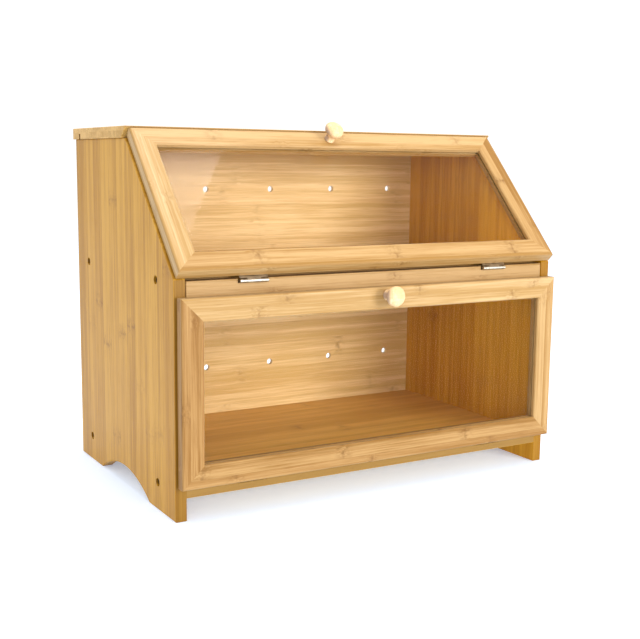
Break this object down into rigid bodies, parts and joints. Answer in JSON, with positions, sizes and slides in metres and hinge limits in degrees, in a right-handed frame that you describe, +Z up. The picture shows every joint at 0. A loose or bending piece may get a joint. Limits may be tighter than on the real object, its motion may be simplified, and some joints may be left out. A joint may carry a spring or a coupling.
{
  "type": "bread bin",
  "caption": "Two-tier bamboo bread bin with a slanted upper front, glazed drop-down doors on butt hinges, turned knobs and arched feet.",
  "frame": {"origin": "on the floor, at the centre of the closed bin's footprint, knob and top board included", "axes": "+X to the bin's right seen from the front, +Y to the back, +Z up"},
  "size_m": [0.384, 0.2664, 0.3204],
  "materials": {
    "bamboo_board": "laminated bamboo strips, clear satin lacquer",
    "bamboo_panel": "thin bamboo panel, clear satin lacquer",
    "bamboo_knob": "turned bamboo, clear satin lacquer",
    "clear_acrylic": "clear polished acrylic sheet",
    "hinge_nickel": "nickel-plated steel",
    "screw_steel": "zinc-plated steel",
    "magnet_nickel": "nickel-plated magnet"
  },
  "bodies": {
    "carcass": {"bottom_board": "bamboo_board", "catch_magnets": "magnet_nickel", "front_rail": "bamboo_board", "left_panel_screws": "screw_steel", "left_side_panel": "bamboo_board", "lower_back_panel": "bamboo_panel", "lower_door_hinge_frame_screws": "screw_steel", "lower_door_left_hinge_fixed_leaf": "hinge_nickel", "lower_door_left_hinge_pin": "hinge_nickel", "lower_door_right_hinge_fixed_leaf": "hinge_nickel", "lower_door_right_hinge_pin": "hinge_nickel", "middle_shelf": "bamboo_board", "right_panel_screws": "screw_steel", "right_side_panel": "bamboo_board", "top_board": "bamboo_board", "top_board_dowels": "bamboo_board", "upper_back_panel": "bamboo_panel", "upper_door_hinge_frame_screws": "screw_steel", "upper_door_left_hinge_fixed_leaf": "hinge_nickel", "upper_door_left_hinge_pin": "hinge_nickel", "upper_door_right_hinge_fixed_leaf": "hinge_nickel", "upper_door_right_hinge_pin": "hinge_nickel"},
    "upper_door": {"upper_door_bottom_rail": "bamboo_board", "upper_door_hinge_door_screws": "screw_steel", "upper_door_knob": "bamboo_knob", "upper_door_knob_screw": "screw_steel", "upper_door_left_hinge_door_leaf": "hinge_nickel", "upper_door_left_stile": "bamboo_board", "upper_door_pane": "clear_acrylic", "upper_door_right_hinge_door_leaf": "hinge_nickel", "upper_door_right_stile": "bamboo_board", "upper_door_top_rail": "bamboo_board"},
    "lower_door": {"lower_door_bottom_rail": "bamboo_board", "lower_door_catch_discs": "screw_steel", "lower_door_hinge_door_screws": "screw_steel", "lower_door_knob": "bamboo_knob", "lower_door_knob_screw": "screw_steel", "lower_door_left_hinge_door_leaf": "hinge_nickel", "lower_door_left_stile": "bamboo_board", "lower_door_pane": "clear_acrylic", "lower_door_right_hinge_door_leaf": "hinge_nickel", "lower_door_right_stile": "bamboo_board", "lower_door_top_rail": "bamboo_board"}
  },
  "joints": [
    {"name": "upper_door_hinge", "type": "hinge", "parent": "carcass", "child": "upper_door", "pos_m": [0, -0.10665, 0.19041], "axis": [1, 0, 0], "range_deg": [0, 121]},
    {"name": "lower_door_hinge", "type": "hinge", "parent": "carcass", "child": "lower_door", "pos_m": [0, -0.10415, 0.0264], "axis": [1, 0, 0], "range_deg": [0, 88.5]}
  ]
}
